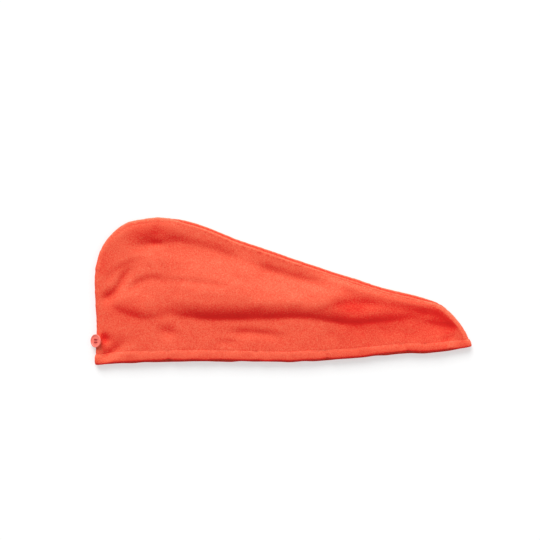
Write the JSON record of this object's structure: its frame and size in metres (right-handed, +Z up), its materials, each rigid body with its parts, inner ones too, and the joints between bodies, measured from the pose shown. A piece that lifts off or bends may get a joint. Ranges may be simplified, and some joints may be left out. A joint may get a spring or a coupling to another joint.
{
  "type": "hair turban towel",
  "caption": "Plush microfibre hair turban towel lying on its side, with a tapering tail, a hemmed open mouth, a button at the nape edge and an elastic loop in the tail.",
  "frame": {"origin": "middle of the whole towel's outline, on the surface that it lies on", "axes": "+X from the nape edge with the button to the tail's tip, +Y from the mouth to the crown, +Z up off the surface"},
  "size_m": [0.6586, 0.2556, 0.0205],
  "materials": {
    "cloth": "plush microfibre, coral",
    "hem": "turned and stitched plush microfibre, coral",
    "button": "glossy salmon plastic",
    "thread": "dark red polyester thread",
    "elastic": "covered elastic cord, coral"
  },
  "bodies": {
    "root": {"front_panel": "cloth", "back_panel": "cloth", "seam_edge": "cloth", "front_hem": "hem", "back_hem": "hem", "button": "button", "button_thread": "thread", "elastic_loop": "elastic"}
  },
  "joints": []
}
